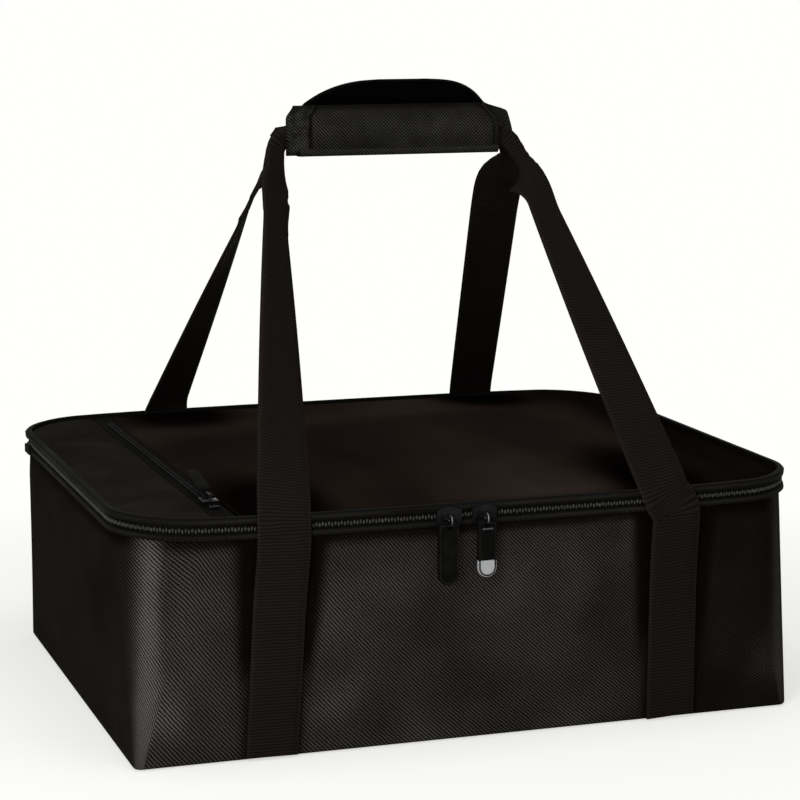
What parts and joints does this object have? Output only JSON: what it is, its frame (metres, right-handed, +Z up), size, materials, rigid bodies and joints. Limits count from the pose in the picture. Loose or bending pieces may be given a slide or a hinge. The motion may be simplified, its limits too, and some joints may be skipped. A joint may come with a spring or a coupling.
{
  "type": "insulated lunch bag",
  "caption": "Flat insulated carrier bag with a zipped lid, a zipped pocket strip in the lid and webbing handles that meet in a padded grip.",
  "frame": {"origin": "centre of the flat base's underside", "axes": "+X to the right along the long front, +Y towards the back edge where the lid is joined, +Z up"},
  "size_m": [0.4164, 0.3632, 0.3695],
  "materials": {
    "twill": "matt twill weave",
    "binding": "close-woven binding tape",
    "webbing": "ribbed webbing",
    "closure": "hook and loop pile",
    "foam": "closed-cell foam",
    "liner": "silvery wipe-clean film",
    "board": "plain",
    "zip_chain": "moulded teeth, satin",
    "slider_metal": "dark gunmetal",
    "pull_rubber": "satin moulded rubber",
    "pull_tip": "pale satin"
  },
  "bodies": {
    "tub": {"outer_shell": "twill", "base_board": "board", "base_foam": "foam", "wall_foam": "foam", "inner_liner": "liner", "lower_zip_band": "binding", "lower_zip_chain": "zip_chain", "back_hinge_strip": "twill", "zip_end_tab_left": "binding", "zip_end_tab_right": "binding", "front_left_strap_sewn": "webbing", "front_right_strap_sewn": "webbing", "back_left_strap_sewn": "webbing", "back_right_strap_sewn": "webbing"},
    "lid": {"upper_zip_chain": "zip_chain", "upper_zip_band": "binding", "lid_main_panel": "twill", "lid_pocket_panel": "twill", "pocket_zip_tape": "binding", "pocket_lining": "binding", "lid_foam": "foam", "lid_liner": "liner", "pocket_zip_chain": "zip_chain", "pocket_zip_stop": "slider_metal"},
    "front_handle": {"front_left_strap_free": "webbing", "front_right_strap_free": "webbing", "front_handle_webbing": "webbing"},
    "back_handle": {"back_left_strap_free": "webbing", "back_right_strap_free": "webbing", "back_handle_webbing": "webbing", "grip_pad": "twill", "grip_loop_strip": "closure"},
    "grip_flap": {"grip_flap": "twill", "grip_hook_strip": "closure"},
    "main_slider_left": {"main_slider_left": "slider_metal"},
    "main_slider_right": {"main_slider_right": "slider_metal"},
    "main_pull_left": {"main_pull_ring_left": "slider_metal", "main_pull_left": "pull_rubber"},
    "main_pull_right": {"main_pull_ring_right": "slider_metal", "main_pull_right": "pull_rubber", "main_pull_tip_right": "pull_tip"},
    "pocket_slider": {"pocket_slider": "slider_metal"},
    "pocket_pull": {"pocket_pull": "pull_rubber"}
  },
  "joints": [
    {"name": "lid_open", "type": "hinge", "parent": "tub", "child": "lid", "pos_m": [0, 0.1764, 0.136], "axis": [-1, 0, 0], "range_deg": [0, 105], "deforming": ["back_hinge_strip"]},
    {"name": "front_handle_swing", "type": "hinge", "parent": "tub", "child": "front_handle", "pos_m": [0, -0.171, 0.115], "axis": [1, 0, 0], "range_deg": [0, 131.25], "deforming": ["front_left_strap_free", "front_right_strap_free"]},
    {"name": "back_handle_swing", "type": "hinge", "parent": "tub", "child": "back_handle", "pos_m": [0, 0.171, 0.115], "axis": [-1, 0, 0], "range_deg": [0, 131.25], "deforming": ["back_left_strap_free", "back_right_strap_free"]},
    {"name": "grip_flap_open", "type": "hinge", "parent": "back_handle", "child": "grip_flap", "pos_m": [0, -0.0077, 0.325], "axis": [1, 0, 0], "range_deg": [0, 136.5], "deforming": ["grip_flap", "grip_hook_strip"]},
    {"name": "main_slider_left_run", "type": "slide", "parent": "tub", "child": "main_slider_left", "axis": [-1, 0, 0], "range_m": [0, 0.066]},
    {"name": "main_slider_right_run", "type": "slide", "parent": "tub", "child": "main_slider_right", "axis": [1, 0, 0], "range_m": [0, 0.085]},
    {"name": "main_pull_left_swing", "type": "hinge", "parent": "main_slider_left", "child": "main_pull_left", "pos_m": [-0.0242, -0.18125, 0.136], "axis": [-1, 0, 0], "range_deg": [0, 120]},
    {"name": "main_pull_right_swing", "type": "hinge", "parent": "main_slider_right", "child": "main_pull_right", "pos_m": [-0.0034, -0.18125, 0.136], "axis": [-1, 0, 0], "range_deg": [0, 120]},
    {"name": "pocket_slider_run", "type": "slide", "parent": "lid", "child": "pocket_slider", "axis": [0, 1, 0], "range_m": [0, 0.25]},
    {"name": "pocket_pull_lift", "type": "hinge", "parent": "pocket_slider", "child": "pocket_pull", "pos_m": [-0.148, -0.124, 0.1447], "axis": [1, 0, 0], "range_deg": [0, 130]}
  ],
  "couplings": [
    {"joint": "front_handle_swing", "follows": "lid_open", "ratio": 1.25},
    {"joint": "back_handle_swing", "follows": "lid_open", "ratio": 1.25},
    {"joint": "grip_flap_open", "follows": "lid_open", "ratio": 1.3}
  ]
}
